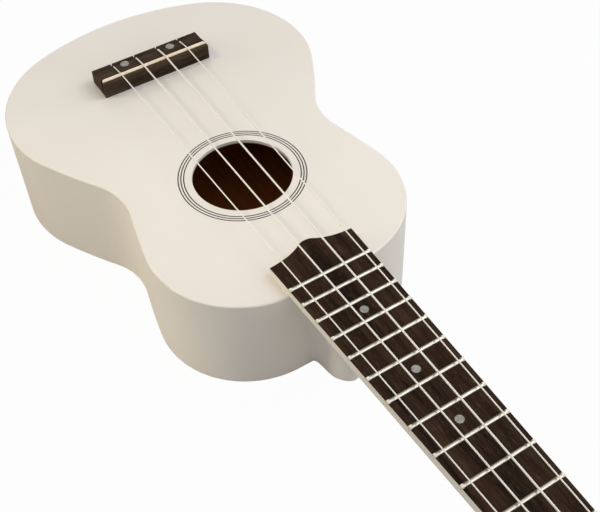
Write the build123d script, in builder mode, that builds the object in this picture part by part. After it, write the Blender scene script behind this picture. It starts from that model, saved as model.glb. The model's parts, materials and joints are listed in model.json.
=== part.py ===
from build123d import *
from math import atan2, cos, degrees, pi, radians, sin, tan
import os

# A soprano ukulele lying on its back, in millimetres.
#
# The row frame has the back's outside on z = 0, +Y along the neck towards the head and
# +X on the side of the A string. The soundboard is the datum that everything else is
# set out from: on the deck plane, y runs along the strings from the nut (y = 0, the head
# being positive), x runs across them and z stands off the soundboard.

os.makedirs("parts", exist_ok=True)

# ---------------------------------------------------------------- driving dimensions

scale_length = 345.0
fret_count = 12
body_joint_y = -scale_length / 2
depth_at_tail = 61.4
depth_at_neck = 57.4

board_thickness = 2.4
back_thickness = 2.2
rib_thickness = 1.9
edge_round = 0.8
lining_width = 4.5
lining_height = 6.0
block_length = 22.0
neck_block_half_width = 26.0
tail_block_half_width = 20.0
brace_width = 6.0
brace_height = 7.0
brace_end_height = 2.0
brace_half_length = 50.0
back_brace_ys = (-218.0, -336.0)
patch_size = (76.0, 26.0)
patch_thickness = 2.0

soundhole_y = -252.5
soundhole_radius = 25.2
rosette_radii = (29.55, 30.95, 32.35)
rosette_line = 0.6
rosette_depth = 0.3

nut_half_width = 16.7
joint_half_width = 21.75
fingerboard_thickness = 4.0
fingerboard_end_y = -188.8
fingerboard_bump = 5.8
fret_crown_width = 2.0
fret_crown_height = 0.9
fret_tang_width = 0.56
fret_tang_depth = 1.6
dot_radius = 2.0
dot_thickness = 1.0
dotted_frets = (5, 7, 10)
fit_gap = 0.02

nut_length = 5.0
nut_height = 6.2
nut_back_height = 4.8
nut_crest_y = 2.0
nut_notch = 0.6
neck_depth_at_nut = 13.5
neck_depth_at_heel = 16.0
shoulder_at_nut = 1.2
shoulder_at_heel = 0.1
heel_flare = (2.0, 3.5)
dowel_radius = 3.0
dowel_x = 8.0
dowel_z = -16.0
dowel_half_length = 13.0

head_tilt = 10.0
head_start_y = 5.2
head_length = 124.0
head_thickness = 11.0
head_half_width = 24.0
head_shoulder = 24.0
peg_hole_radius = 3.3

bridge_half_length = 31.5
bridge_rear_y = -360.8
bridge_front_y = -344.5
bridge_height = 8.0
bridge_crest = 9.4
bridge_step_y = -353.5
bridge_end_round = 1.0
saddle_y = -347.1
saddle_thickness = 2.2
saddle_half_length = 30.9
saddle_floor = 3.0
saddle_top = 10.0
saddle_notch = 0.3
string_hole_y = -356.9
string_hole_radius = 0.7
string_slot = 0.95
knot_z = 3.4
knot_radius = 1.25
knot_pocket_radius = 1.7
knot_pocket_length = 5.4
bridge_screw_places = ((-13.8, -356.3), (13.8, -356.3))
bridge_screw_radius = 1.5
bridge_screw_head_radius = 2.1
bridge_screw_head = 1.6
bridge_screw_sink = 3.5
bridge_screw_length = 12.0
bridge_dot_radius = 2.35

# Each string: place across the saddle, place across the nut, radius, and which of the
# two pegs on its edge of the head it goes to.
strings = {
    "g": (-20.1, -13.5, 0.33, "near"),
    "c": (-6.7, -4.4, 0.457, "far"),
    "e": (6.7, 4.7, 0.406, "far"),
    "a": (20.1, 13.8, 0.305, "near"),
}

post_x = 14.5
post_along = {"near": 36.0, "far": 82.0}
post_radius = 3.0
post_waist_radius = 2.6
post_top = 9.0
waist_start = 1.2
waist_end = 7.4
string_level = 2.5
winding_turns = 3
bushing_radius = 4.0
bushing_length = 8.0
bushing_flange_radius = 5.2
bushing_flange = 0.9
bearing_gap = 0.05

plate_thickness = 1.0
plate_half_width = 7.5
plate_rear = 15.2
plate_front = 10.8
tab_thickness = 1.2
tab_radius = 3.2
screw_near = 12.6
screw_far = 8.4
screw_head_radius = 2.0
screw_shank_radius = 1.0
screw_head = 1.1
screw_length = 7.0

gear_teeth = 12
gear_pitch_radius = 4.8
gear_tip_radius = 5.35
gear_root_radius = 3.9
gear_width = 3.0
gear_centre_depth = 3.75
worm_pitch_radius = 1.9
worm_tip_radius = 2.6
worm_root_radius = 1.3
worm_half_length = 4.2
worm_shaft_radius = 1.5
worm_tail = 1.0
thread_thickness = 1.0
pressure_angle = 20.0

button_start = 28.0
button_length = 11.5
button_half_width = 6.5
button_thickness = 6.0
button_grip = 8.0
button_collar = 1.5
button_collar_radius = 2.5
gear_square = 3.0
gear_screw_radius = 0.8
gear_screw_length = 4.8
gear_screw_head_radius = 2.6
gear_screw_head = 1.2
screw_slot = 0.6
string_hole_level = 6.0

# ------------------------------------------------------------------- datum planes

# Half the outline, tail to neck, as tangent arcs: radius and turn in degrees, the
# waist's turn being the other way. The turns add up to half a circle, and a flat for
# the heel is left between the two halves.
bouts = (
    (131.4, 21.4),
    (60.5, 95.1),
    (298.7, 6.3),
    (34.9, -46.9),
    (415.9, 4.1),
    (47.7, 100.0),
)


def outline_length():
    """Tail to neck joint, by adding up the arcs."""
    length, heading = 0.0, 0.0
    for radius, turn in bouts:
        rise = cos(radians(heading)) - cos(radians(heading + turn))
        length += radius * rise * (1 if turn > 0 else -1)
        heading += turn
    return length


body_tail_y = body_joint_y - outline_length()
taper = atan2(depth_at_tail - depth_at_neck, body_joint_y - body_tail_y)
# The furthest points each way along Y are the back's tail edge and the head's tip.
tail_reach = -body_tail_y * cos(taper) + depth_at_tail * sin(taper)
tip_rise = -head_length * sin(radians(head_tilt))
tip_reach = (head_start_y + head_length * cos(radians(head_tilt))) * cos(taper) + tip_rise * sin(taper)
deck = Plane(
    origin=(0, (tail_reach - tip_reach) / 2, depth_at_tail + body_tail_y * sin(taper)),
    x_dir=(1, 0, 0),
    z_dir=(0, sin(taper), cos(taper)),
)
side_view = Plane(origin=deck.origin, x_dir=deck.y_dir, z_dir=deck.x_dir)
off_deck = Axis(deck.origin, deck.z_dir)
head = Plane(
    origin=deck.from_local_coords((0, head_start_y, 0)),
    x_dir=deck.x_dir,
    z_dir=deck.y_dir * sin(radians(head_tilt)) + deck.z_dir * cos(radians(head_tilt)),
)
off_head = Axis(head.origin, head.z_dir)


def cross_section(y):
    """Plane across the neck at y, with x across and y standing off the soundboard."""
    return Plane(deck.from_local_coords((0, y, 0)), x_dir=deck.x_dir, z_dir=-deck.y_dir)


def fret_y(number):
    """Distance of a fret from the nut, in equal temperament."""
    return -scale_length * (1 - 2 ** (-number / 12))


def half_width(y):
    """Half the fingerboard's width at y."""
    return nut_half_width + (joint_half_width - nut_half_width) * y / body_joint_y


def save(part, label):
    """Label a finished piece and write it."""
    part.label = label
    export_step(part, f"parts/{label}.step")


# -------------------------------------------------------------------------- body

def body_prism(inset, top):
    """The body's outline less an inset, from a height off the deck to below the back."""
    with BuildPart() as prism:
        with BuildSketch(deck.offset(top)):
            with BuildLine():
                start, along = Vector(0, body_tail_y), Vector(1, 0)
                for radius, turn in bouts:
                    arc = JernArc(start, along, radius, turn)
                    start, along = arc @ 1, arc % 1
                Line(start, (0, start.Y))
                mirror(about=Plane.YZ)
            make_face()
            if inset:
                offset(amount=-inset)
        extrude(amount=-2 * depth_at_tail)
    return prism.part


body_blank = body_prism(0, 0)
rib_blank = body_prism(0, -board_thickness)
rib_core = body_prism(rib_thickness, -board_thickness)
lining_core = body_prism(rib_thickness + lining_width, -board_thickness)

with BuildPart() as soundboard:
    add(body_blank)
    split(bisect_by=deck.offset(-board_thickness), keep=Keep.TOP)
    fillet(soundboard.faces().sort_by(off_deck)[-1].edges(), edge_round)
    with BuildSketch(deck):
        with Locations((0, soundhole_y)):
            Circle(soundhole_radius)
        with Locations(*bridge_screw_places):
            Circle(bridge_screw_radius + bearing_gap)
    extrude(amount=-board_thickness, mode=Mode.SUBTRACT)
    for radius in rosette_radii:
        with BuildSketch(deck):
            with Locations((0, soundhole_y)):
                Circle(radius)
                Circle(radius - rosette_line, mode=Mode.SUBTRACT)
        extrude(amount=-rosette_depth, mode=Mode.SUBTRACT)
save(soundboard.part, "soundboard")

with BuildPart() as rosette:
    for radius in rosette_radii:
        with BuildSketch(deck):
            with Locations((0, soundhole_y)):
                Circle(radius)
                Circle(radius - rosette_line, mode=Mode.SUBTRACT)
        extrude(amount=-rosette_depth)
save(rosette.part, "rosette")

with BuildPart() as back:
    add(body_blank)
    split(bisect_by=Plane.XY, keep=Keep.TOP)
    split(bisect_by=Plane.XY.offset(back_thickness), keep=Keep.BOTTOM)
    fillet(back.faces().sort_by(Axis.Z)[0].edges(), edge_round)
save(back.part, "back")

for label, keep in (("side_bass", Keep.BOTTOM), ("side_treble", Keep.TOP)):
    with BuildPart() as side:
        add(rib_blank)
        add(rib_core, mode=Mode.SUBTRACT)
        split(bisect_by=Plane.XY.offset(back_thickness), keep=Keep.TOP)
        with BuildSketch(cross_section(body_joint_y)):
            with Locations((-dowel_x, dowel_z), (dowel_x, dowel_z)):
                Circle(dowel_radius + fit_gap)
        extrude(amount=rib_thickness, mode=Mode.SUBTRACT)
        split(bisect_by=Plane.YZ, keep=keep)
    save(side.part, label)

with BuildPart() as neck_block:
    add(rib_core)
    split(bisect_by=Plane.XY.offset(back_thickness), keep=Keep.TOP)
    with BuildSketch(cross_section(body_joint_y - rib_thickness)):
        Rectangle(2 * neck_block_half_width, 3 * depth_at_tail)
    extrude(amount=block_length, mode=Mode.INTERSECT)
    with BuildSketch(cross_section(body_joint_y)):
        with Locations((-dowel_x, dowel_z), (dowel_x, dowel_z)):
            Circle(dowel_radius + fit_gap)
    extrude(amount=dowel_half_length, mode=Mode.SUBTRACT)
save(neck_block.part, "neck_block")

with BuildPart() as tail_block:
    add(rib_core)
    split(bisect_by=Plane.XY.offset(back_thickness), keep=Keep.TOP)
    with BuildSketch(cross_section(body_tail_y + block_length)):
        Rectangle(2 * tail_block_half_width, 3 * depth_at_tail)
    extrude(amount=block_length, mode=Mode.INTERSECT)
save(tail_block.part, "tail_block")

blocks = (neck_block.part, tail_block.part)

with BuildPart() as top_lining:
    add(rib_core)
    add(lining_core, mode=Mode.SUBTRACT)
    split(bisect_by=deck.offset(-board_thickness - lining_height), keep=Keep.TOP)
    add(blocks, mode=Mode.SUBTRACT)
save(top_lining.part, "top_lining")

with BuildPart() as back_lining:
    add(rib_core)
    add(lining_core, mode=Mode.SUBTRACT)
    split(bisect_by=Plane.XY.offset(back_thickness), keep=Keep.TOP)
    split(bisect_by=Plane.XY.offset(back_thickness + lining_height), keep=Keep.BOTTOM)
    add(blocks, mode=Mode.SUBTRACT)
save(back_lining.part, "back_lining")



def brace_profile(plane):
    """Side elevation of a brace on its board: flat foot, low ends and an arched top."""
    with BuildSketch(plane) as profile:
        with BuildLine():
            Polyline(
                (brace_half_length, brace_end_height),
                (brace_half_length, 0),
                (-brace_half_length, 0),
                (-brace_half_length, brace_end_height),
            )
            ThreePointArc(
                (-brace_half_length, brace_end_height),
                (0, brace_height),
                (brace_half_length, brace_end_height),
            )
        make_face()
    return profile.sketch


with BuildPart() as top_braces:
    for station in (soundhole_y - 36.0, soundhole_y + 36.0):
        foot = deck.from_local_coords((0, station, -board_thickness))
        elevation = brace_profile(Plane(foot, x_dir=-deck.x_dir, z_dir=-deck.y_dir))
        extrude(elevation, brace_width / 2, both=True)
save(top_braces.part, "top_braces")

with BuildPart() as back_braces:
    for station in back_brace_ys:
        middle = deck.from_local_coords((0, station, -depth_at_neck))
        foot = (0, middle.Y, back_thickness)
        elevation = brace_profile(Plane(foot, x_dir=deck.x_dir, z_dir=(0, -1, 0)))
        extrude(elevation, brace_width / 2, both=True)
save(back_braces.part, "back_braces")

with BuildPart() as bridge_patch:
    with BuildSketch(deck.offset(-board_thickness)):
        with Locations((0, (bridge_rear_y + bridge_front_y) / 2)):
            RectangleRounded(*patch_size, 3)
        with Locations(*bridge_screw_places):
            Circle(bridge_screw_radius + bearing_gap, mode=Mode.SUBTRACT)
    extrude(amount=-patch_thickness)
save(bridge_patch.part, "bridge_patch")

# -------------------------------------------------------------------------- neck


def neck_profile(plane, width, shoulder, thickness):
    """Flat top, short upright shoulders and a round underside."""
    with BuildSketch(plane) as profile:
        with BuildLine():
            Polyline((-width, -shoulder), (-width, 0), (width, 0), (width, -shoulder))
            ThreePointArc((width, -shoulder), (0, -thickness), (-width, -shoulder))
        make_face()
    return profile.sketch


def heel_profile(height, width, reach):
    """Level section of the heel: flared where it meets the body, round towards the head."""
    flare, run = heel_flare
    with BuildSketch(deck.offset(height)) as profile:
        with BuildLine():
            front = Spline(
                (width + flare, body_joint_y),
                (width, body_joint_y + run),
                (0.74 * width, body_joint_y + 0.74 * reach),
                (0, body_joint_y + reach),
                (-0.74 * width, body_joint_y + 0.74 * reach),
                (-width, body_joint_y + run),
                (-width - flare, body_joint_y),
                tangents=((-1, 0.4), (-1, -0.4)),
            )
            Line(front @ 1, front @ 0)
        make_face()
    return profile.sketch


# Heel sections, from the heel cap at the back up to the neck: height, half width, reach.
heel_sections = (
    (-56.6, 9.5, 21.0),
    (-46.0, 9.5, 21.5),
    (-34.0, 9.8, 26.0),
    (-25.0, 12.0, 36.0),
    (-13.0, 15.8, 62.0),
    (-3.0, 18.0, 78.0),
)
head_rise = Plane(
    head.from_local_coords((0, head_shoulder, 0)), x_dir=head.x_dir, z_dir=-head.y_dir
)
peg_seats = [(side * post_x, along) for side in (-1, 1) for along in post_along.values()]
screw_seats = [(x, y + shift) for x, y in peg_seats for shift in (-screw_near, screw_far)]

shaft_root = neck_profile(
    cross_section(body_joint_y), half_width(body_joint_y), shoulder_at_heel, neck_depth_at_heel
)
shaft_top = neck_profile(
    cross_section(head_start_y), half_width(head_start_y), shoulder_at_nut, neck_depth_at_nut
)
head_root = neck_profile(head_rise, head_half_width - 1.5, head_thickness - 1, head_thickness)

with BuildPart() as neck:
    loft([shaft_root, shaft_top], ruled=True)
    loft([heel_profile(*section) for section in heel_sections])
    loft([shaft_top, head_root], ruled=True)
    with BuildSketch(head):
        with BuildLine():
            shoulder = (head_half_width - 1.5, head_shoulder)
            corner = (head_half_width + 0.5, head_length - 7)
            cap = (head_half_width - 9, head_length - 2)
            Polyline((0, head_shoulder), shoulder, corner)
            ThreePointArc(corner, (head_half_width - 3, head_length - 3.2), cap)
            ThreePointArc(cap, (7, head_length - 0.5), (0, head_length))
            mirror(about=Plane.YZ)
        make_face()
    extrude(amount=-head_thickness)
    with BuildSketch(head):
        with Locations(*peg_seats):
            Circle(bushing_radius + fit_gap)
    extrude(amount=-bushing_length, mode=Mode.SUBTRACT)
    with BuildSketch(head):
        with Locations(*peg_seats):
            Circle(peg_hole_radius)
    extrude(amount=-head_thickness, mode=Mode.SUBTRACT)
    with BuildSketch(head.offset(-head_thickness)):
        with Locations(*screw_seats):
            Circle(screw_shank_radius + fit_gap)
    extrude(amount=screw_length + 10 * fit_gap, mode=Mode.SUBTRACT)
    with BuildSketch(cross_section(body_joint_y)):
        with Locations((-dowel_x, dowel_z), (dowel_x, dowel_z)):
            Circle(dowel_radius + fit_gap)
    extrude(amount=-dowel_half_length, mode=Mode.SUBTRACT)
save(neck.part, "neck")

with BuildPart() as neck_dowels:
    with BuildSketch(cross_section(body_joint_y)):
        with Locations((-dowel_x, dowel_z), (dowel_x, dowel_z)):
            Circle(dowel_radius)
    extrude(amount=dowel_half_length - 0.2, both=True)
save(neck_dowels.part, "neck_dowels")

dot_places = [(0, (fret_y(n) + fret_y(n - 1)) / 2) for n in dotted_frets]

with BuildPart() as fingerboard:
    with BuildSketch(deck):
        with BuildLine():
            end_half_width = half_width(fingerboard_end_y)
            cheek = end_half_width * 0.55
            bump_y = fingerboard_end_y - fingerboard_bump
            Polyline((0, 0), (nut_half_width, 0), (end_half_width, fingerboard_end_y))
            Spline(
                (end_half_width, fingerboard_end_y),
                (cheek, fingerboard_end_y - 1.3),
                (cheek * 0.42, fingerboard_end_y - 4.0),
                (0, bump_y),
                tangents=((-1, -0.04), (-1, 0)),
            )
            mirror(about=Plane.YZ)
        make_face()
    extrude(amount=fingerboard_thickness)
    for number in range(1, fret_count + 1):
        with BuildSketch(side_view):
            with Locations((fret_y(number), fingerboard_thickness)):
                Rectangle(
                    fret_tang_width + 2 * fit_gap,
                    fret_tang_depth + fit_gap,
                    align=(Align.CENTER, Align.MAX),
                )
        extrude(amount=2 * joint_half_width, both=True, mode=Mode.SUBTRACT)
    with BuildSketch(deck.offset(fingerboard_thickness)):
        with Locations(*dot_places):
            Circle(dot_radius + fit_gap)
    extrude(amount=-dot_thickness, mode=Mode.SUBTRACT)
save(fingerboard.part, "fingerboard")

crown = fret_crown_width / 2
tang = fret_tang_width / 2
with BuildPart() as frets:
    for number in range(1, fret_count + 1):
        slot = deck.from_local_coords((0, fret_y(number), fingerboard_thickness))
        with BuildSketch(Plane(slot, x_dir=deck.y_dir, z_dir=deck.x_dir)):
            with BuildLine():
                ThreePointArc((crown, 0), (0, fret_crown_height), (-crown, 0))
                Polyline(
                    (-crown, 0),
                    (-tang, 0),
                    (-tang, -fret_tang_depth),
                    (tang, -fret_tang_depth),
                    (tang, 0),
                    (crown, 0),
                )
            make_face()
        extrude(amount=half_width(fret_y(number)) - 0.1, both=True)
save(frets.part, "frets")

with BuildPart() as position_dots:
    with BuildSketch(deck.offset(fingerboard_thickness)):
        with Locations(*dot_places):
            Circle(dot_radius)
    extrude(amount=-dot_thickness)
save(position_dots.part, "position_dots")

# ------------------------------------------------------------- strings and their seats


def winding_radius(radius):
    """Radius of a string's turns about the waist of its post."""
    return post_waist_radius + 0.1 + radius


def string_route(name):
    """Centre line of a string from its knot, over saddle and nut, to its peg's post."""
    saddle_x, nut_x, radius, place = strings[name]
    side = -1 if saddle_x < 0 else 1
    reach = post_x - winding_radius(radius)
    with BuildLine() as route:
        FilletPolyline(
            deck.from_local_coords((saddle_x, string_hole_y, knot_z)),
            deck.from_local_coords((saddle_x, string_hole_y, bridge_height + radius + 0.1)),
            deck.from_local_coords((saddle_x, saddle_y, saddle_top + radius - saddle_notch)),
            deck.from_local_coords((nut_x, nut_crest_y, nut_height + radius - nut_notch)),
            head.from_local_coords((side * reach, post_along[place], string_level)),
            radius=(1.0, 2.5, 4.0),
        )
    return route.wire()


def strung(route, radius):
    """Round bar of a radius along a string's route."""
    with BuildPart() as bar:
        with BuildSketch(Plane(route @ 0, z_dir=route % 0)):
            Circle(radius)
        sweep(path=route)
    return bar.part


routes = {name: string_route(name) for name in strings}
string_room = [strung(routes[name], size[2] + fit_gap) for name, size in strings.items()]

with BuildPart() as nut:
    with BuildSketch(side_view):
        with BuildLine():
            front, rear = (0, nut_height - 0.4), (nut_crest_y + 0.6, nut_height - 0.3)
            Polyline(rear, (nut_length, nut_back_height), (nut_length, 0), (0, 0), front)
            ThreePointArc(front, (nut_crest_y - 0.8, nut_height), rear)
        make_face()
    extrude(amount=nut_half_width, both=True)
    add(string_room, mode=Mode.SUBTRACT)
save(nut.part, "nut")

with BuildPart() as bridge:
    with BuildSketch(side_view):
        Polygon(
            (bridge_front_y, 0),
            (bridge_front_y, bridge_crest - 0.6),
            (bridge_front_y - 0.5, bridge_crest),
            (bridge_step_y, bridge_height),
            (bridge_rear_y + 0.5, bridge_height),
            (bridge_rear_y, bridge_height - 0.8),
            (bridge_rear_y, 0),
            align=None,
        )
    extrude(amount=bridge_half_length, both=True)
    with BuildSketch(cross_section(bridge_rear_y)):
        Rectangle(2 * bridge_half_length, bridge_crest, align=(Align.CENTER, Align.MIN))
        fillet(vertices().group_by(Axis.Y)[-1], bridge_end_round)
    extrude(amount=bridge_rear_y - bridge_front_y, mode=Mode.INTERSECT)
    with BuildSketch(side_view):
        with Locations((saddle_y, saddle_floor)):
            Rectangle(saddle_thickness + 2 * fit_gap, bridge_crest, align=(Align.CENTER, Align.MIN))
    extrude(amount=bridge_half_length, both=True, mode=Mode.SUBTRACT)
    for saddle_x in (size[0] for size in strings.values()):
        with BuildSketch(deck.offset(bridge_height)):
            with Locations((saddle_x, string_hole_y)):
                Circle(string_hole_radius)
            with Locations((saddle_x, bridge_rear_y)):
                Rectangle(string_slot, string_hole_y - bridge_rear_y, align=(Align.CENTER, Align.MIN))
        extrude(amount=knot_z - bridge_height, mode=Mode.SUBTRACT)
        with BuildSketch(cross_section(bridge_rear_y)):
            with Locations((saddle_x, knot_z)):
                Circle(knot_pocket_radius)
        extrude(amount=-knot_pocket_length, mode=Mode.SUBTRACT)
    with BuildSketch(deck.offset(bridge_height)):
        with Locations(*bridge_screw_places):
            Circle(bridge_dot_radius + fit_gap)
    extrude(amount=-bridge_screw_sink, mode=Mode.SUBTRACT)
    with BuildSketch(deck):
        with Locations(*bridge_screw_places):
            Circle(bridge_screw_radius + bearing_gap)
    extrude(amount=bridge_height, mode=Mode.SUBTRACT)
save(bridge.part, "bridge")

with BuildPart() as saddle:
    with BuildSketch(cross_section(saddle_y)):
        with Locations((0, saddle_floor)):
            Rectangle(2 * saddle_half_length, saddle_top - saddle_floor, align=(Align.CENTER, Align.MIN))
        fillet(vertices().group_by(Axis.Y)[0], 3.5)
        fillet(vertices().group_by(Axis.Y)[-1], 1.2)
    extrude(amount=saddle_thickness / 2, both=True)
    crest = saddle.faces().sort_by(off_deck)[-1]
    fillet(crest.edges().filter_by(Axis.X), 0.8)
    add(string_room, mode=Mode.SUBTRACT)
save(saddle.part, "saddle")

with BuildPart() as bridge_screws:
    with BuildSketch(deck.offset(bridge_height - bridge_screw_sink)):
        with Locations(*bridge_screw_places):
            Circle(bridge_screw_head_radius)
    extrude(amount=bridge_screw_head)
    with BuildSketch(deck.offset(bridge_height - bridge_screw_sink)):
        with Locations(*bridge_screw_places):
            Circle(bridge_screw_radius)
    extrude(amount=-bridge_screw_length)
save(bridge_screws.part, "bridge_screws")

with BuildPart() as bridge_dots:
    with BuildSketch(deck.offset(bridge_height)):
        with Locations(*bridge_screw_places):
            Circle(bridge_dot_radius)
    extrude(amount=-dot_thickness)
save(bridge_dots.part, "bridge_dots")

for name, size in strings.items():
    with BuildPart() as string:
        add(strung(routes[name], size[2]))
        with Locations(routes[name] @ 0):
            Sphere(knot_radius)
    save(string.part, f"string_{name}")

# ------------------------------------------------------------------------- tuners
# Each machine is set out on a seat plane: origin on the head's face at the post, x
# towards the near edge of the head, z off the face. hand is 1 or -1, and mirrors the
# machines on the two edges, thread included.

thread_pitch = 2 * pi * gear_pitch_radius / gear_teeth
axle_offset = gear_pitch_radius + worm_pitch_radius
back_level = -head_thickness
plate_level = back_level - plate_thickness
gear_level = back_level - gear_centre_depth
lead_angle = degrees(atan2(thread_pitch, 2 * pi * worm_pitch_radius))
gear_twist = degrees(gear_width * tan(radians(lead_angle)) / gear_pitch_radius)
half_tooth = 180 / gear_teeth
tooth_corners = (
    (gear_root_radius - 0.4, -0.8),
    (gear_tip_radius, -0.28),
    (gear_tip_radius, 0.28),
    (gear_root_radius - 0.4, 0.8),
)


def seat_plane(hand, along):
    """Plane on the head's face at a post, with its x towards the nearer edge."""
    return Plane(
        head.from_local_coords((hand * post_x, along, 0)),
        x_dir=head.x_dir * hand,
        z_dir=head.z_dir,
    )


def axle_plane(seat, hand, x):
    """Plane across the worm's axle at x, with its x towards the gear."""
    return Plane(
        seat.from_local_coords((x, -hand * axle_offset, gear_level)),
        x_dir=seat.y_dir * hand,
        z_dir=seat.x_dir,
    )


def axle_side(seat, hand, x):
    """Level plane through the worm's axle at x, with its x outward along the axle."""
    return Plane(
        seat.from_local_coords((x, -hand * axle_offset, gear_level)),
        x_dir=seat.x_dir,
        z_dir=seat.z_dir,
    )


def gear_profile(plane, turn):
    """Twelve-tooth wheel: a root disc with a straight-flanked tooth at each pitch."""
    with BuildSketch(plane) as profile:
        Circle(gear_root_radius)
        with PolarLocations(0, gear_teeth, start_angle=turn):
            Polygon(*tooth_corners, align=None)
    return profile.sketch


def thread_half(radius):
    """Half the thread's thickness along the axle, at a radius."""
    return thread_thickness / 2 + (worm_pitch_radius - radius) * tan(radians(pressure_angle))


def worm_thread(hand):
    """Thread about Z with its crest on +X at z = 0, running past both ends of the worm."""
    run = 2 * thread_pitch
    root, tip = worm_root_radius - 0.2, worm_tip_radius
    with BuildPart(Plane.XY.offset(-run)) as thread:
        with BuildLine():
            spiral = Helix(thread_pitch, 2 * run, worm_pitch_radius, lefthand=hand < 0)
        with BuildSketch(Plane.XZ):
            with Locations((0, -run)):
                Polygon(
                    (root, -thread_half(root)),
                    (tip, -thread_half(tip)),
                    (tip, thread_half(tip)),
                    (root, thread_half(root)),
                    align=None,
                )
        sweep(path=spiral, is_frenet=True)
    return thread.part


inner_end = worm_half_length + 0.2
collar_start = button_start - post_x - button_collar
for name, (saddle_x, _, radius, place) in strings.items():
    hand = -1 if saddle_x < 0 else 1
    seat = seat_plane(hand, post_along[place])
    post_side = Plane(seat.origin, x_dir=seat.x_dir, z_dir=-seat.y_dir)

    with BuildPart() as plate:
        with BuildSketch(seat.offset(back_level)):
            with Locations((0, hand * (plate_front - plate_rear) / 2)):
                RectangleRounded(2 * plate_half_width, plate_front + plate_rear, 3)
            Circle(post_radius + 2 * bearing_gap, mode=Mode.SUBTRACT)
            with Locations((0, -hand * screw_near), (0, hand * screw_far)):
                Circle(screw_shank_radius + fit_gap, mode=Mode.SUBTRACT)
        extrude(amount=-plate_thickness)
        for x in (-inner_end - tab_thickness, inner_end):
            with BuildSketch(axle_plane(seat, hand, x)):
                Circle(tab_radius)
                Rectangle(
                    2 * tab_radius,
                    gear_centre_depth - plate_thickness / 2,
                    align=(Align.CENTER, Align.MIN if hand > 0 else Align.MAX),
                )
                Circle(worm_shaft_radius + bearing_gap, mode=Mode.SUBTRACT)
            extrude(amount=tab_thickness)
    save(plate.part, f"tuner_plate_{name}")

    with BuildPart() as worm_shaft:
        add(worm_thread(hand).moved(axle_plane(seat, hand, 0).location))
        with BuildSketch(axle_plane(seat, hand, -worm_half_length)):
            Circle(worm_tip_radius)
        extrude(amount=2 * worm_half_length, mode=Mode.INTERSECT)
        with BuildSketch(axle_plane(seat, hand, -worm_half_length)):
            Circle(worm_root_radius)
        extrude(amount=2 * worm_half_length)
        with BuildSketch(axle_plane(seat, hand, -worm_half_length)):
            Circle(worm_shaft_radius)
        extrude(amount=worm_half_length - inner_end - tab_thickness - worm_tail)
        with BuildSketch(axle_plane(seat, hand, worm_half_length)):
            Circle(worm_shaft_radius)
        extrude(amount=button_start + button_grip - post_x - worm_half_length)
    save(worm_shaft.part, f"worm_shaft_{name}")

    with BuildPart() as button:
        with BuildSketch(axle_side(seat, hand, button_start - post_x + button_length / 2)):
            Ellipse(button_length / 2, button_half_width)
        extrude(amount=button_thickness / 2, both=True)
        fillet(button.faces().filter_by(off_head).edges(), 2)
        with BuildSketch(axle_plane(seat, hand, collar_start)):
            Circle(button_collar_radius)
        extrude(amount=2.5 * button_collar)
        with BuildSketch(axle_plane(seat, hand, collar_start)):
            Circle(worm_shaft_radius + fit_gap)
        extrude(amount=button_collar + button_grip + fit_gap, mode=Mode.SUBTRACT)
    save(button.part, f"button_{name}")

    with BuildPart() as post:
        with BuildSketch(post_side):
            Polygon(
                (0, gear_level + gear_width / 2),
                (post_radius, gear_level + gear_width / 2),
                (post_radius, waist_start),
                (post_waist_radius, waist_start + 0.5),
                (post_waist_radius, waist_end - 0.6),
                (post_radius, waist_end),
                (post_radius, post_top - 0.5),
                (post_radius - 0.5, post_top),
                (0, post_top),
                align=None,
            )
        revolve(axis=Axis(seat.origin, seat.z_dir))
        with BuildSketch(seat.offset(gear_level + gear_width / 2)):
            Rectangle(gear_square, gear_square)
        extrude(amount=-gear_width)
        with BuildSketch(post_side):
            with Locations((0, string_hole_level)):
                Circle(string_hole_radius)
        extrude(amount=post_radius, both=True, mode=Mode.SUBTRACT)
        with BuildSketch(seat.offset(gear_level - gear_width / 2)):
            Circle(gear_screw_radius + fit_gap)
        extrude(amount=gear_screw_length + fit_gap, mode=Mode.SUBTRACT)
    save(post.part, f"string_post_{name}")

    with BuildPart() as drive_gear:
        loft(
            [
                gear_profile(
                    seat.offset(gear_level + end * gear_width / 2),
                    half_tooth + end * hand * gear_twist / 2,
                )
                for end in (-1, 1)
            ],
            ruled=True,
        )
        with BuildSketch(seat.offset(gear_level + gear_width / 2)):
            Rectangle(gear_square + 2 * fit_gap, gear_square + 2 * fit_gap)
        extrude(amount=-gear_width, mode=Mode.SUBTRACT)
    save(drive_gear.part, f"drive_gear_{name}")

    with BuildPart() as gear_screw:
        with BuildSketch(seat.offset(gear_level - gear_width / 2)):
            Circle(gear_screw_head_radius)
        extrude(amount=-gear_screw_head)
        chamfer(gear_screw.faces().sort_by(off_head)[0].edges(), 0.5)
        with BuildSketch(seat.offset(gear_level - gear_width / 2)):
            Circle(gear_screw_radius)
        extrude(amount=gear_screw_length)
        with BuildSketch(seat.offset(gear_level - gear_width / 2 - gear_screw_head)):
            Rectangle(2 * gear_screw_head_radius, screw_slot)
        extrude(amount=screw_slot, mode=Mode.SUBTRACT)
    save(gear_screw.part, f"gear_screw_{name}")

    with BuildPart() as winding:
        # Touching turns of the string, each taken as an eight-sided ring.
        with BuildSketch(post_side):
            for turn in range(1, winding_turns + 1):
                with Locations((winding_radius(radius), string_level + 0.2 + 1.9 * radius * turn)):
                    RegularPolygon(radius, 8, major_radius=False, rotation=22.5)
        revolve(axis=Axis(seat.origin, seat.z_dir))
    save(winding.part, f"winding_{name}")

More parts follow.
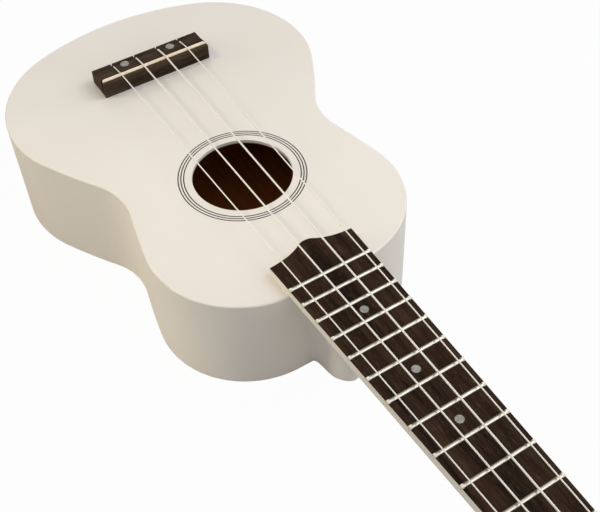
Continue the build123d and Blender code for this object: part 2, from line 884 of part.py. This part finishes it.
with BuildPart() as tuner_bushings:
    with BuildSketch(head):
        with Locations(*peg_seats):
            Circle(bushing_flange_radius)
    extrude(amount=bushing_flange)
    chamfer(tuner_bushings.faces().sort_by(off_head)[-4:].edges(), 0.35)
    with BuildSketch(head):
        with Locations(*peg_seats):
            Circle(bushing_radius)
    extrude(amount=-bushing_length)
    with BuildSketch(head.offset(bushing_flange)):
        with Locations(*peg_seats):
            Circle(post_radius + bearing_gap)
    extrude(amount=-bushing_flange - bushing_length, mode=Mode.SUBTRACT)
save(tuner_bushings.part, "tuner_bushings")

with BuildPart() as tuner_screws:
    with BuildSketch(head.offset(plate_level)):
        with Locations(*screw_seats):
            Circle(screw_head_radius)
    extrude(amount=-screw_head)
    chamfer(tuner_screws.faces().sort_by(off_head)[:8].edges(), 0.6)
    with BuildSketch(head.offset(plate_level)):
        with Locations(*screw_seats):
            Circle(screw_shank_radius)
    extrude(amount=plate_thickness + screw_length)
save(tuner_screws.part, "tuner_screws")
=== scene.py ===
import json
import math

import bpy
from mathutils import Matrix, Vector


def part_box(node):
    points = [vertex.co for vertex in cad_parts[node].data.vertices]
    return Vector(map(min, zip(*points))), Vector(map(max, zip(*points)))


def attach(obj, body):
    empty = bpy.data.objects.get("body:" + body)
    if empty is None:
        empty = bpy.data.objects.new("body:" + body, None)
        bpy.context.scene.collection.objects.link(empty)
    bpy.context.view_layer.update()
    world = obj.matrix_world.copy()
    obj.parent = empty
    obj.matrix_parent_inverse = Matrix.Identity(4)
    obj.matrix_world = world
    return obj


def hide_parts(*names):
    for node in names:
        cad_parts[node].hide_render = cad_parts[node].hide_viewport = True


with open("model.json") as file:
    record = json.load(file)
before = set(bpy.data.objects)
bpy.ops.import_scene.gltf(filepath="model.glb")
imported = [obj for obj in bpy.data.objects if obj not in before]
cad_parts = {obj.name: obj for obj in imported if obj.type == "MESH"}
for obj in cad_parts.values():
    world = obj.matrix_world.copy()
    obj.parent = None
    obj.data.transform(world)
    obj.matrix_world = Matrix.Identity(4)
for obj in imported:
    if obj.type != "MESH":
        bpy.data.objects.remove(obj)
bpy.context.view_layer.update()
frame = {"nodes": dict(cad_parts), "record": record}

# A cream soprano ukulele on a pale floor, seen from above its neck. Metres, in the CAD
# frame: the back on z = 0, +Y towards the head, +X towards the A string.

nodes = frame["nodes"]
record = frame["record"]
joints = {joint["name"]: joint for joint in record["behaviour"]["joints"]}
string_names = ("g", "c", "e", "a")

# The soundboard slopes down towards the neck; patterns are set out in its own frame.
taper = math.radians(0.982)
deck_normal = Vector((0, math.sin(taper), math.cos(taper)))

paint_depth = 0.0015  # how far the paint reaches down the soundhole's wall
waist_share = 0.4  # the waist's place along the soundboard, from the neck
inner_line_share = 0.42  # radius within the rosette's innermost line, of its width
edge_lean = 2.5  # how strongly the wall's normal leans upwards

string_level = 0.0025  # where a string meets its post, above the head's face
bore_radius = 0.0027  # inside of the turns of string
turn_count, turn_steps = 1.75, 24
first_turn, turn_rise = 2.5, 2.05  # above the string and for each turn, in string radii
# The string's end, as (along the head, above its face): in at the post's hole and out.
string_end = ((-0.0036, 0.0056), (-0.0029, 0.006), (0.0, 0.006), (0.0042, 0.0061))


# ------------------------------------------------------------------ material tools


def colour(red, green, blue):
    """Linear colour from 8-bit display values."""
    linear = []
    for value in (red, green, blue):
        share = value / 255
        linear.append(share / 12.92 if share <= 0.04045 else ((share + 0.055) / 1.055) ** 2.4)
    return (*linear, 1.0)


class Nodes:
    """A node tree being built: each maker returns the socket that carries its result."""

    def __init__(self, tree):
        self.tree = tree

    def put(self, socket, value):
        if isinstance(value, bpy.types.NodeSocket):
            self.tree.links.new(value, socket)
        else:
            socket.default_value = value

    def make(self, kind, inputs, output=0, **settings):
        node = self.tree.nodes.new("ShaderNode" + kind)
        for key, value in settings.items():
            setattr(node, key, value)
        for key, value in inputs.items():
            self.put(node.inputs[key], value)
        return node.outputs[output]

    def ramp(self, factor, low, high, start=0.0, end=1.0):
        """Number between two others as a factor goes from start to end."""
        inputs = {"Value": factor, "From Min": start, "From Max": end}
        inputs.update({"To Min": low, "To Max": high})
        return self.make("MapRange", inputs)

    def mix(self, factor, first, second, blend="MIX"):
        node = self.tree.nodes.new("ShaderNodeMix")
        node.data_type = "RGBA"
        node.blend_type = blend
        self.put(node.inputs["Factor"], factor)
        self.put(node.inputs[6], first)
        self.put(node.inputs[7], second)
        return node.outputs[2]

    def maths(self, operation, first, second=0.0):
        node = self.tree.nodes.new("ShaderNodeMath")
        node.operation = operation
        self.put(node.inputs[0], first)
        self.put(node.inputs[1], second)
        return node.outputs[0]


class Shader(Nodes):
    """A material being built on its Principled surface."""

    def __init__(self, name):
        self.material = bpy.data.materials.new(name)
        self.material.use_nodes = True
        super().__init__(self.material.node_tree)
        self.surface = self.tree.nodes["Principled BSDF"]

    def set(self, **inputs):
        for key, value in inputs.items():
            self.put(self.surface.inputs[key.replace("_", " ")], value)

    def places(self, scale=(1, 1, 1)):
        """Row-frame coordinates, turned into the soundboard's frame and scaled."""
        raw = self.make("TexCoord", {}, "Object")
        level = self.make("Mapping", {"Vector": raw, "Rotation": (taper, 0, 0)})
        return self.make("Mapping", {"Vector": level, "Scale": scale})

    def noise(self, scale, stretch=(1, 1, 1), detail=3.0, roughness=0.55, distortion=0.0):
        inputs = {
            "Vector": self.places(stretch),
            "Scale": scale,
            "Detail": detail,
            "Roughness": roughness,
            "Distortion": distortion,
        }
        return self.make("TexNoise", inputs, "Fac")

    def facing(self, direction):
        """Cosine between the surface's own normal and a direction."""
        inputs = {0: self.make("NewGeometry", {}, "True Normal"), 1: direction}
        return self.make("VectorMath", inputs, "Value", operation="DOT_PRODUCT")

    def bump(self, height, distance, strength=1.0, **normal):
        inputs = {"Height": height, "Distance": distance, "Strength": strength, **normal}
        self.put(self.surface.inputs["Normal"], self.make("Bump", inputs, "Normal"))


def lacquer_colour(shader):
    """Cream paint with broad, faint clouds and a little warmth in them."""
    clouds = shader.ramp(shader.noise(9, detail=2), 0.0, 1.0, 0.3, 0.7)
    return shader.mix(clouds, colour(228, 221, 210), colour(233, 227, 218))


def bare_wood_colour(shader, dark, light, stretch):
    """Plain straight-grained wood, its fibres along the axis that is stretched least."""
    fibres = shader.noise(40, stretch, detail=6, roughness=0.7)
    return shader.mix(shader.ramp(fibres, 0, 1, 0.3, 0.7), dark, light)


def painted(name, bare=None, tones=((172, 92, 38), (196, 118, 56)), coat=0.3, soft=None):
    """Satin cream paint. bare is the share of bare wood, where a node shows both, and soft
    gives the normal where the paint rounds an edge."""
    shader = Shader(name)
    paint = lacquer_colour(shader)
    roughness = shader.ramp(shader.noise(60), 0.36, 0.46)
    if bare:
        mask = bare(shader)
        wood = bare_wood_colour(shader, colour(*tones[0]), colour(*tones[1]), (9, 1, 9))
        paint = shader.mix(mask, paint, wood)
        roughness = shader.ramp(mask, 0.42, 0.8)
    shader.set(Base_Color=paint, Roughness=roughness)
    shader.set(Coat_Weight=coat, Coat_Roughness=0.14, Specular_IOR_Level=0.3)
    normal = {"Normal": soft(shader)} if soft else {}
    shader.bump(shader.noise(700, detail=2), 0.00002, 0.35, **normal)
    return shader.material


def inside_wall(shader):
    """1 on a side's inner face, whose normal points towards the middle of the waist."""
    low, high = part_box("soundboard")
    waist = Vector((0, high.y + waist_share * (low.y - high.y), 0))
    out = shader.make(
        "VectorMath",
        {0: position(shader), 1: waist},
        "Vector",
        operation="SUBTRACT",
    )
    return shader.ramp(shader.facing(out), 1, 0, -0.001, 0.001)


def position(shader):
    return shader.make("NewGeometry", {}, "Position")


def dot(shader, vector, direction):
    return shader.make("VectorMath", {0: vector, 1: direction}, "Value", operation="DOT_PRODUCT")


def from_hole(shader):
    """Offset from the soundhole's centre, and 1 within the rosette's innermost line."""
    low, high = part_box("rosette")
    inputs = {0: position(shader), 1: (low + high) / 2}
    offset = shader.make("VectorMath", inputs, "Vector", operation="SUBTRACT")
    distance = shader.make("VectorMath", {0: offset}, "Value", operation="LENGTH")
    return offset, shader.maths("LESS_THAN", distance, inner_line_share * (high.x - low.x))


def under_board(shader):
    """1 on the soundboard's underside and low in the soundhole's wall: bare wood under the
    paint, darkened there as painted shade.
    """
    offset, near = from_hole(shader)
    height = dot(shader, offset, deck_normal)
    deep = shader.ramp(height, 1, 0, -paint_depth - 0.0002, -paint_depth)
    below = shader.ramp(shader.facing(deck_normal), 1, 0, -0.6, -0.5)
    return shader.maths("MAXIMUM", below, shader.maths("MULTIPLY", near, deep))


def soft_hole_edge(shader):
    """Leans the soundhole's wall upwards, where the paint rounds its edge."""
    offset, near = from_hole(shader)
    inputs = {0: deck_normal, "Scale": shader.maths("MULTIPLY", near, edge_lean)}
    lean = shader.make("VectorMath", inputs, "Vector", operation="SCALE")
    inputs = {0: shader.make("NewGeometry", {}, "Normal"), 1: lean}
    both = shader.make("VectorMath", inputs, "Vector", operation="ADD")
    return shader.make("VectorMath", {0: both}, "Vector", operation="NORMALIZE")


def over_back(shader):
    """1 on the back's inner face, which looks up."""
    return shader.ramp(shader.facing((0, 0, 1)), 0, 1, 0.5, 0.6)


def rosewood(name, along, dark, light, paint_edges=False):
    """Dark rosewood with streaks, a fine grain and small open pores along one axis."""
    shader = Shader(name)
    fine, wide = [
        tuple(1.0 if axis == along else across for axis in "xyz") for across in (26.0, 12.0)
    ]
    streaks = shader.ramp(shader.noise(18, wide, detail=8, roughness=0.62), 0, 1, 0.36, 0.66)
    wood = shader.mix(streaks, dark, light)
    red = shader.ramp(shader.noise(7, wide, detail=3), 0, 0.5, 0.5, 0.7)
    wood = shader.mix(red, wood, colour(58, 36, 24))
    grain = shader.ramp(shader.noise(70, fine, detail=6, roughness=0.8), 0, 0.6, 0.5, 0.62)
    wood = shader.mix(grain, wood, dark)
    pores = shader.ramp(shader.noise(110, fine, detail=3, roughness=0.7), 0, 0.8, 0.6, 0.66)
    wood = shader.mix(pores, wood, colour(96, 80, 62))
    roughness = shader.ramp(streaks, 0.5, 0.65)
    if paint_edges:
        edge = shader.ramp(shader.facing(deck_normal), 1, 0, 0.5, 0.6)
        wood = shader.mix(edge, wood, lacquer_colour(shader))
    shader.set(Base_Color=wood, Roughness=roughness, Specular_IOR_Level=0.03)
    shader.bump(streaks, 0.00006, 0.5)
    return shader.material


def bare_wood(name, dark, light, stretch):
    shader = Shader(name)
    shader.set(Base_Color=bare_wood_colour(shader, dark, light, stretch), Roughness=0.75)
    shader.bump(shader.noise(60, stretch, detail=5), 0.00008, 0.5)
    return shader.material


def fret_metal(name):
    """Drawn nickel silver, bright where the strings rub it, with a painted dim reflection in tan
    on the side facing the bridge, its last millimetre caught by the paint."""
    shader = Shader(name)
    low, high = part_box("fingerboard")
    axes = shader.make("SeparateXYZ", {0: position(shader)}, "X").node.outputs
    half_width = shader.ramp(axes["Y"], high.x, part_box("nut")[1].x, low.y, high.y)
    reach = shader.maths("SUBTRACT", shader.maths("ABSOLUTE", axes["X"]), half_width)
    uneven = shader.ramp(shader.noise(900, detail=1), -0.0004, 0.0004, 0.3, 0.7)
    end = shader.ramp(shader.maths("ADD", reach, uneven), 0, 1, -0.0013, -0.0010)
    rub = shader.noise(300, (1, 12, 12), detail=3)
    rubbed = shader.ramp(rub, 0, 1, 0.35, 0.65)
    metal = shader.mix(rubbed, colour(222, 218, 206), colour(244, 241, 234))
    # Painted dim reflection: the side of each fret facing the bridge is turned tan and darker.
    painted_dim_reflection = shader.ramp(shader.facing((0, 1, 0)), 1, 0, 0.1, 0.45)
    metal = shader.mix(painted_dim_reflection, metal, colour(150, 140, 118))
    shader.set(Base_Color=shader.mix(end, metal, colour(240, 232, 214)))
    shader.set(Metallic=shader.ramp(end, 0.9, 0), Roughness=shader.ramp(rub, 0.22, 0.36))
    return shader.material


def plated(name, tint, rough):
    """Bright metal with faint polishing marks."""
    shader = Shader(name)
    marks = shader.noise(180, (1, 5, 5), detail=4)
    low = tuple(0.9 * part for part in tint[:3]) + (1,)
    shader.set(Base_Color=shader.mix(marks, low, tint), Metallic=1.0)
    shader.set(Roughness=shader.ramp(marks, rough * 0.7, rough * 1.4))
    shader.bump(marks, 0.00001, 0.3)
    return shader.material


def moulded(name, low, high, rough, scale=220, grain=(1, 1, 1), glow=0.0):
    """Bone, plastic or nylon: a slightly clouded solid colour with a soft gloss. glow is the
    share of the light that passes under the surface."""
    shader = Shader(name)
    clouds = shader.noise(scale, grain, detail=3)
    shader.set(Base_Color=shader.mix(shader.ramp(clouds, 0, 1, 0.35, 0.65), low, high))
    shader.set(Roughness=shader.ramp(clouds, rough * 0.85, rough * 1.15))
    shader.set(Subsurface_Weight=glow, Subsurface_Scale=0.001, Subsurface_Radius=(1, 1, 1))
    shader.bump(clouds, 0.00001, 0.3)
    return shader.material


def pearl(name):
    """Grey mother-of-pearl: bands that drift between cool and warm grey."""
    shader = Shader(name)
    bands = shader.noise(260, (1, 2.2, 1), detail=2, distortion=1.6)
    drift = shader.ramp(bands, 0, 1, 0.35, 0.65)
    tone = shader.mix(drift, colour(112, 109, 104), colour(160, 156, 148))
    shader.set(Base_Color=tone, Roughness=0.25, Coat_Weight=0.5, Coat_Roughness=0.08)
    shader.bump(bands, 0.00001, 0.2)
    return shader.material


def dress(material, *names):
    """Gives CAD nodes one material over their whole surface."""
    for name in names:
        mesh = nodes[name].data
        mesh.materials.clear()
        mesh.materials.append(material)


def each(prefix):
    return [f"{prefix}_{name}" for name in string_names]


dress(painted("cream_paint"), "neck")
# Bare wood under the soundboard's paint, much darker than the inner wood: painted shade low in
# the soundhole's wall.
bare_edge_painted_shade = (58, 32, 16), (82, 50, 28)
dress(painted("cream_paint_top", under_board, bare_edge_painted_shade, soft=soft_hole_edge), "soundboard")
dress(painted("cream_paint_sides", inside_wall, coat=0.12), "side_bass", "side_treble")
dress(painted("cream_paint_back", over_back), "back")
board_tones = colour(24, 15, 10), colour(66, 48, 36)
bridge_tones = colour(42, 32, 24), colour(82, 68, 54)
dress(rosewood("rosewood_fingerboard", "y", *board_tones, paint_edges=True), "fingerboard")
dress(rosewood("rosewood_bridge", "x", *bridge_tones), "bridge")
dress(moulded("inlay_black", colour(3, 3, 3), colour(9, 8, 8), 0.6), "rosette")
dress(fret_metal("fret_nickel"), "frets")
dress(pearl("pearl"), "position_dots", "bridge_dots")
bone_tones = colour(232, 210, 182), colour(244, 228, 204)
dress(moulded("bone", *bone_tones, 0.36, 90, (4, 1, 4)), "saddle", "nut")
inner_wood = bare_wood("inner_wood", colour(140, 84, 42), colour(170, 110, 62), (9, 1, 9))
dress(inner_wood, "neck_block", "tail_block", "top_lining", "back_lining", "neck_dowels")
cross_wood = bare_wood("brace_wood", colour(176, 138, 92), colour(206, 172, 126), (1, 9, 9))
dress(cross_wood, "top_braces", "back_braces", "bridge_patch")
nylon_tones = colour(226, 221, 211), colour(234, 229, 219)
nylon = moulded("nylon", *nylon_tones, 0.3, 120, (6, 1, 6), glow=0.5)
dress(nylon, *each("string"), *each("winding"))
chrome = plated("chrome", colour(214, 214, 216), 0.12)
for prefix in ("tuner_plate", "worm_shaft", "string_post", "gear_screw"):
    dress(chrome, *each(prefix))
dress(chrome, "tuner_bushings", "tuner_screws", "bridge_screws")
dress(plated("gear_brass", colour(196, 160, 92), 0.22), *each("drive_gear"))
button_tones = colour(222, 214, 198), colour(236, 230, 216)
dress(moulded("button_plastic", *button_tones, 0.22), *each("button"))


# ---------------------------------------------------------- turns of string on the posts


def string_turns(name):
    """Turns of string above the end that meets the post, round it, up and in at its hole."""
    joint = joints[f"post_turn_{name}"]
    centre = Vector(joint["pos_m"])
    up = Vector(joint["axis"])
    side = math.copysign(1, centre.x)
    inward = Vector((-side, 0, 0))
    along = up.cross(Vector((1, 0, 0)))
    low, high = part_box(f"winding_{name}")
    thick = ((high.x - low.x) / 2 - bore_radius) / 2
    middle = bore_radius + thick
    points = []
    for step in range(round(turn_count * turn_steps) + 1):
        angle = 2 * math.pi * step / turn_steps
        level = string_level + thick * (first_turn + turn_rise * step / turn_steps)
        spot = inward * math.cos(angle) + along * math.sin(angle)
        points.append(centre + up * level + spot * middle)
    for reach, level in string_end:
        points.append(centre + along * reach + up * level)
    curve = bpy.data.curves.new(f"string_turns_{name}", "CURVE")
    curve.dimensions = "3D"
    curve.bevel_depth = thick
    curve.bevel_resolution = 3
    curve.use_fill_caps = True
    spline = curve.splines.new("POLY")
    spline.points.add(len(points) - 1)
    for target, point in zip(spline.points, points):
        target.co = (*point, 1)
    piece = bpy.data.objects.new(f"string_turns_{name}", curve)
    bpy.context.scene.collection.objects.link(piece)
    curve.materials.append(nylon)
    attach(piece, f"post_{name}")
    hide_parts(f"winding_{name}")


for name in string_names:
    string_turns(name)


# ------------------------------------------------------------- floor, lights, camera


def plain_floor():
    mesh = bpy.data.meshes.new("floor")
    reach, low = 3.0, -0.0002
    corners = [(-reach, -reach, low), (reach, -reach, low)]
    corners += [(reach, reach, low), (-reach, reach, low)]
    mesh.from_pydata(corners, [], [(0, 1, 2, 3)])
    floor = bpy.data.objects.new("floor", mesh)
    bpy.context.scene.collection.objects.link(floor)
    shader = Shader("floor_white")
    shader.set(Base_Color=colour(186, 186, 184), Roughness=0.9, Specular_IOR_Level=0.1)
    white = shader.make("Emission", {"Color": (1, 1, 1, 1), "Strength": 1.0})
    seen = shader.make("LightPath", {}, "Is Camera Ray")
    share = shader.maths("MULTIPLY", seen, 0.97)
    both = shader.make("MixShader", {0: share, 1: shader.surface.outputs[0], 2: white})
    shader.put(shader.tree.nodes["Material Output"].inputs["Surface"], both)
    mesh.materials.append(shader.material)


def white_world(fill, tint):
    """White behind the object, a soft fill light, and reflections that brighten overhead."""
    world = bpy.data.worlds.new("studio")
    world.use_nodes = True
    sky = Nodes(world.node_tree)
    height = sky.make("SeparateXYZ", {0: sky.make("TexCoord", {}, "Generated")}, "Z")
    overhead = sky.ramp(height, 0.4, 1.0, -0.1, 0.6)
    clear = sky.make("LightPath", {}, "Is Camera Ray")
    clear = sky.maths("MAXIMUM", clear, sky.make("LightPath", {}, "Is Transmission Ray"))
    strength = sky.ramp(sky.make("LightPath", {}, "Is Glossy Ray"), fill, overhead)
    background = sky.tree.nodes["Background"]
    sky.put(background.inputs["Strength"], sky.ramp(clear, strength, 1.0))
    sky.put(background.inputs["Color"], sky.mix(clear, tint, (1, 1, 1, 1)))
    bpy.context.scene.world = world


def lamp(name, kind, place, aim, power, tint):
    light = bpy.data.lights.new(name, kind)
    light.energy = power
    light.color = tint
    holder = bpy.data.objects.new(name, light)
    bpy.context.scene.collection.objects.link(holder)
    holder.location = place
    holder.rotation_euler = (Vector(aim) - Vector(place)).to_track_quat("-Z", "Y").to_euler()
    return light


def soft_box(name, place, size, power, tint):
    lamp(name, "AREA", place, (0, 0, 0.03), power, tint).size = size


def soft_spot(name, place, aim, angle, power, tint):
    light = lamp(name, "SPOT", place, aim, power, tint)
    light.spot_size = angle
    light.spot_blend = 1.0
    light.shadow_soft_size = 0.1


def studio_camera():
    """Above the neck, looking down along it at the body, a little rolled."""
    data = bpy.data.cameras.new("camera")
    data.lens = 61.17
    data.sensor_width = 36
    data.shift_x = -0.0430
    data.shift_y = -0.0356
    data.clip_start = 0.01
    camera = bpy.data.objects.new("camera", data)
    bpy.context.scene.collection.objects.link(camera)
    camera.location = (0.1601, 0.2259, 0.4052)
    camera.rotation_euler = [math.radians(turn) for turn in (43.465, 1.450, 146.969)]
    bpy.context.scene.camera = camera


plain_floor()
white_world(0.51, (0.98, 0.98, 1.04, 1.0))
soft_box("left_box", (0.88, -0.56, 1.31), 0.2, 4.1, (1.0, 0.88, 0.46))
soft_box("low_left_box", (1.0, -0.7, 0.4), 0.6, 1.5, (1.0, 0.84, 0.54))
soft_box("near_right_box", (-0.45, 0.0, 0.6), 0.35, 1.6, (0.88, 0.93, 1.0))
soft_box("right_box", (-1.10, 0.15, 0.44), 0.8, 4.0, (0.93, 0.96, 1.0))
soft_box("front_box", (-0.5, 1.4, 0.7), 1.0, 2.6, (1.0, 0.95, 0.88))
waist_edge = (0.05, -0.10, 0.025)
soft_spot("waist_spot", (0.62, -0.42, 0.32), waist_edge, 0.22, 16.0, (1.0, 0.90, 0.70))
studio_camera()
bpy.context.scene.view_settings.view_transform = "Standard"
